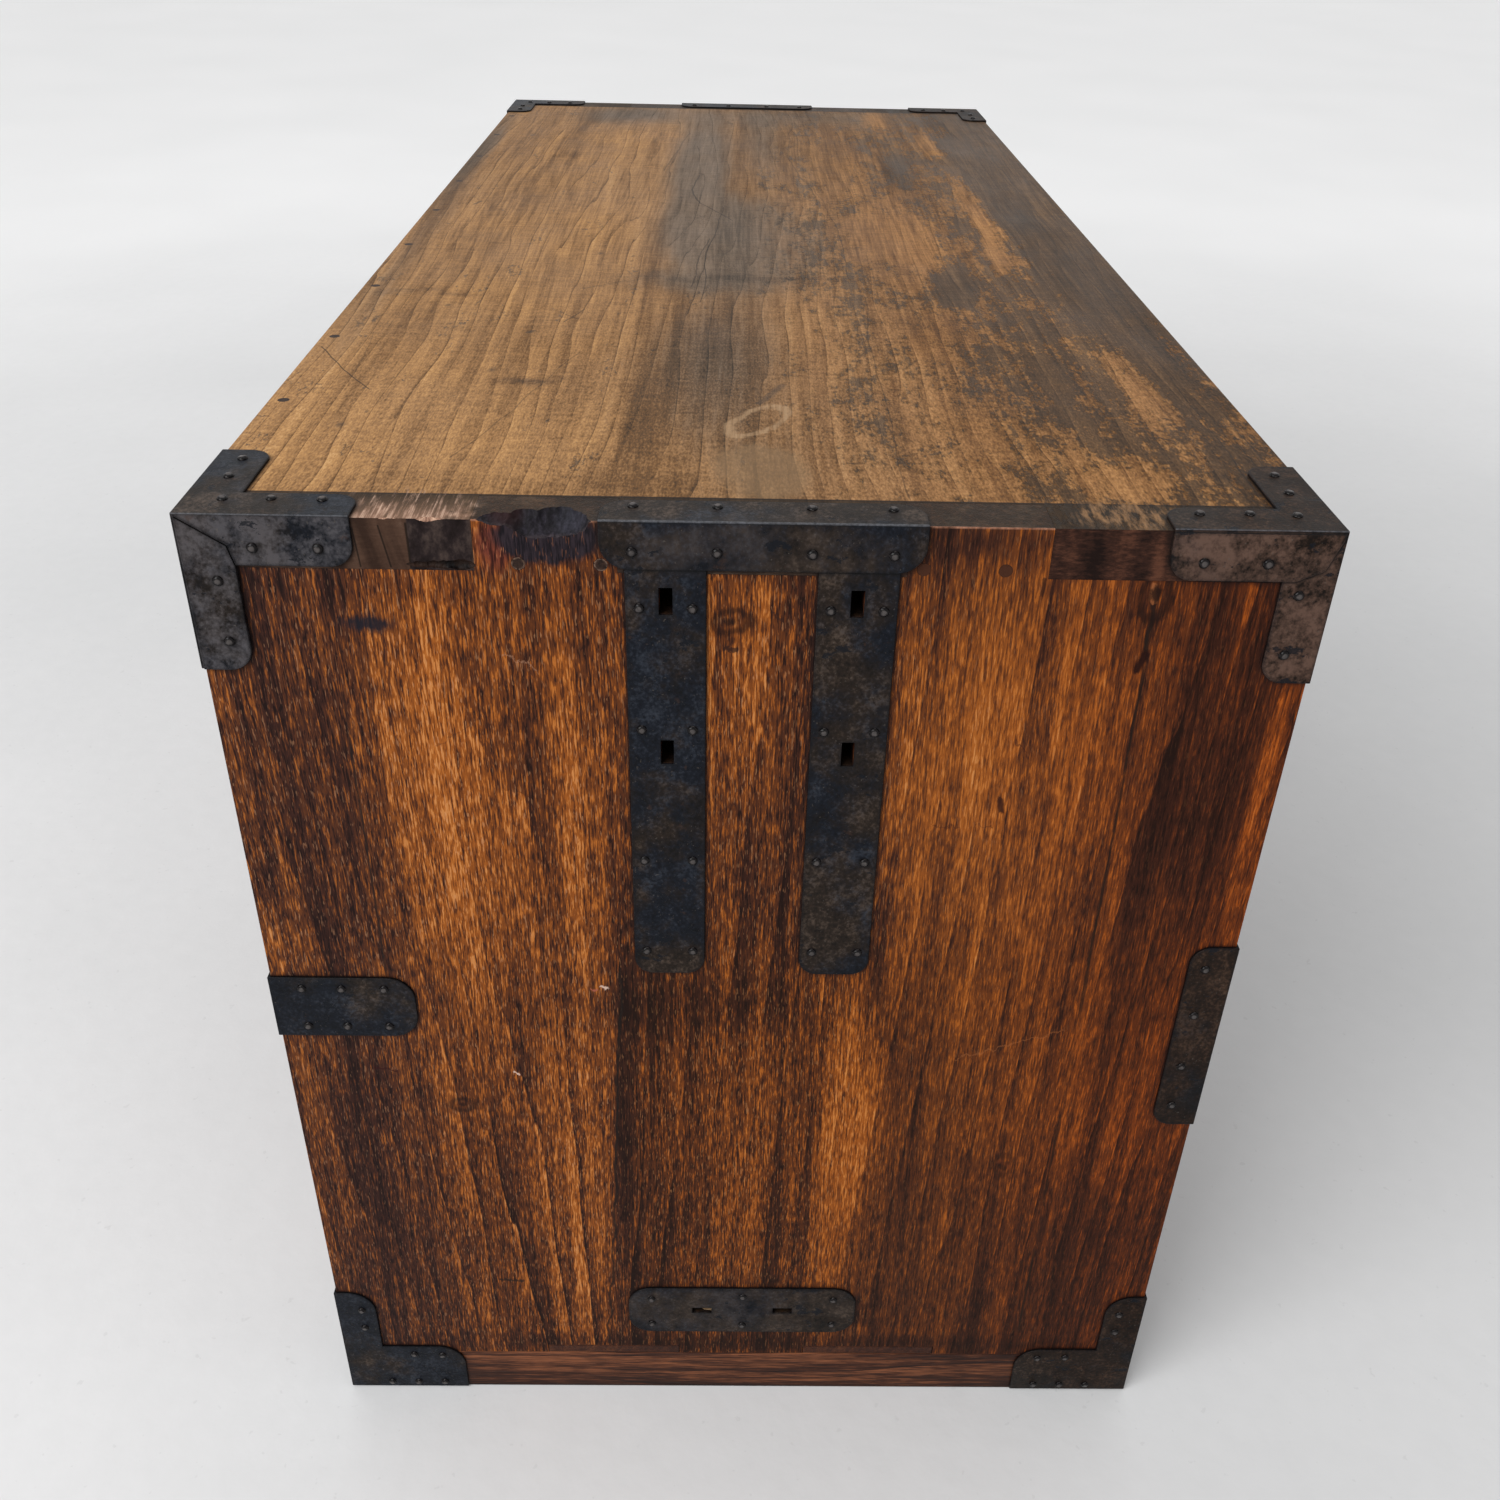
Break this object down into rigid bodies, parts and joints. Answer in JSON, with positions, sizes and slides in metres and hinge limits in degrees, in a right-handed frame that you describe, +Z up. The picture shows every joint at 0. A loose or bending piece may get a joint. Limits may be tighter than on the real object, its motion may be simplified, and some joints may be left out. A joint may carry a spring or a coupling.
{
  "type": "ship chest",
  "caption": "Low wooden ship chest with comb-jointed corners and iron fittings: a wide drawer over small drawers and a small locked cupboard.",
  "frame": {"origin": "on the floor, under the middle of the carcass", "axes": "+X along the chest towards its right end, -Y out of the drawer front, +Z up"},
  "size_m": [0.9566, 0.4395, 0.5125],
  "materials": {
    "worn_top_wood": "worn lacquer, faded tan with grey stains",
    "reddish_end_wood": "satin, open upright grain",
    "reddish_wood": "satin",
    "pale_inner_wood": "bare, planed",
    "dark_iron": "hand-worked sheet, dark patina with a little rust",
    "nail_iron": "hand-forged heads, dark patina"
  },
  "bodies": {
    "carcass": {"top_board": "worn_top_wood", "left_end_board": "reddish_end_wood", "right_end_board": "reddish_end_wood", "bottom_board": "reddish_wood", "back_planks": "reddish_wood", "base_strips": "reddish_wood", "wooden_pegs": "pale_inner_wood", "middle_rail": "reddish_wood", "middle_shelf": "pale_inner_wood", "lower_divider": "reddish_wood", "small_drawer_frame": "reddish_wood", "compartment_shelf": "pale_inner_wood", "door_hinge_fixed_leaves": "dark_iron", "door_hinge_pins": "dark_iron", "left_end_nails": "nail_iron", "right_end_nails": "nail_iron", "carcass_nails": "nail_iron", "left_top_corner_iron_front": "dark_iron", "left_top_corner_iron_back": "dark_iron", "left_foot_corner_iron_front": "dark_iron", "left_foot_corner_iron_back": "dark_iron", "left_front_strap": "dark_iron", "left_back_strap": "dark_iron", "left_edge_strap": "dark_iron", "left_pole_straps": "dark_iron", "left_rest_plate": "dark_iron", "right_top_corner_iron_front": "dark_iron", "right_top_corner_iron_back": "dark_iron", "right_foot_corner_iron_front": "dark_iron", "right_foot_corner_iron_back": "dark_iron", "right_front_strap": "dark_iron", "right_back_strap": "dark_iron", "right_edge_strap": "dark_iron", "right_pole_straps": "dark_iron", "right_rest_plate": "dark_iron"},
    "large_drawer": {"large_drawer_front": "reddish_wood", "large_drawer_sides": "pale_inner_wood", "large_drawer_back": "pale_inner_wood", "large_drawer_bottom": "pale_inner_wood", "large_drawer_lock_plate": "dark_iron", "large_drawer_lock_case": "dark_iron", "large_drawer_eyes": "dark_iron"},
    "large_drawer_bolt": {"large_drawer_lock_bolt": "dark_iron"},
    "large_drawer_left_bail": {"large_drawer_left_bail": "dark_iron"},
    "large_drawer_right_bail": {"large_drawer_right_bail": "dark_iron"},
    "upper_small_drawer": {"upper_small_drawer_front": "reddish_wood", "upper_small_drawer_box": "pale_inner_wood", "upper_small_drawer_eyes": "dark_iron"},
    "upper_small_drawer_bail": {"upper_small_drawer_bail": "dark_iron"},
    "lower_small_drawer": {"lower_small_drawer_front": "reddish_wood", "lower_small_drawer_box": "pale_inner_wood", "lower_small_drawer_eyes": "dark_iron"},
    "lower_small_drawer_bail": {"lower_small_drawer_bail": "dark_iron"},
    "door": {"door_panel": "reddish_wood", "door_hinge_moving_leaves": "dark_iron", "door_lock_plate": "dark_iron", "door_lock_case": "dark_iron", "door_ring_eye": "dark_iron"},
    "door_bolt": {"door_lock_bolt": "dark_iron"},
    "door_ring": {"door_ring": "dark_iron"}
  },
  "joints": [
    {"name": "large_drawer_slide", "type": "slide", "parent": "carcass", "child": "large_drawer", "axis": [0, -1, 0], "range_m": [0, 0.32]},
    {"name": "large_drawer_bolt_slide", "type": "slide", "parent": "large_drawer", "child": "large_drawer_bolt", "axis": [0, 0, 1], "range_m": [0, 0.012]},
    {"name": "large_drawer_left_bail_hinge", "type": "hinge", "parent": "large_drawer", "child": "large_drawer_left_bail", "pos_m": [-0.26, -0.2205, 0.402], "axis": [-1, 0, 0], "range_deg": [0, 95]},
    {"name": "large_drawer_right_bail_hinge", "type": "hinge", "parent": "large_drawer", "child": "large_drawer_right_bail", "pos_m": [0.26, -0.2205, 0.402], "axis": [-1, 0, 0], "range_deg": [0, 95]},
    {"name": "upper_small_drawer_slide", "type": "slide", "parent": "carcass", "child": "upper_small_drawer", "axis": [0, -1, 0], "range_m": [0, 0.32]},
    {"name": "upper_small_drawer_bail_hinge", "type": "hinge", "parent": "upper_small_drawer", "child": "upper_small_drawer_bail", "pos_m": [-0.1665, -0.2205, 0.223], "axis": [-1, 0, 0], "range_deg": [0, 95]},
    {"name": "lower_small_drawer_slide", "type": "slide", "parent": "carcass", "child": "lower_small_drawer", "axis": [0, -1, 0], "range_m": [0, 0.32]},
    {"name": "lower_small_drawer_bail_hinge", "type": "hinge", "parent": "lower_small_drawer", "child": "lower_small_drawer_bail", "pos_m": [-0.1665, -0.2205, 0.107], "axis": [-1, 0, 0], "range_deg": [0, 95]},
    {"name": "door_hinge", "type": "hinge", "parent": "carcass", "child": "door", "pos_m": [0.4524, -0.2133, 0.144], "axis": [0, 0, 1], "range_deg": [0, 168]},
    {"name": "door_bolt_slide", "type": "slide", "parent": "door", "child": "door_bolt", "axis": [-1, 0, 0], "range_m": [0, 0.009]},
    {"name": "door_ring_hinge", "type": "hinge", "parent": "door", "child": "door_ring", "pos_m": [0.1782, -0.2205, 0.167], "axis": [-1, 0, 0], "range_deg": [0, 95]}
  ]
}
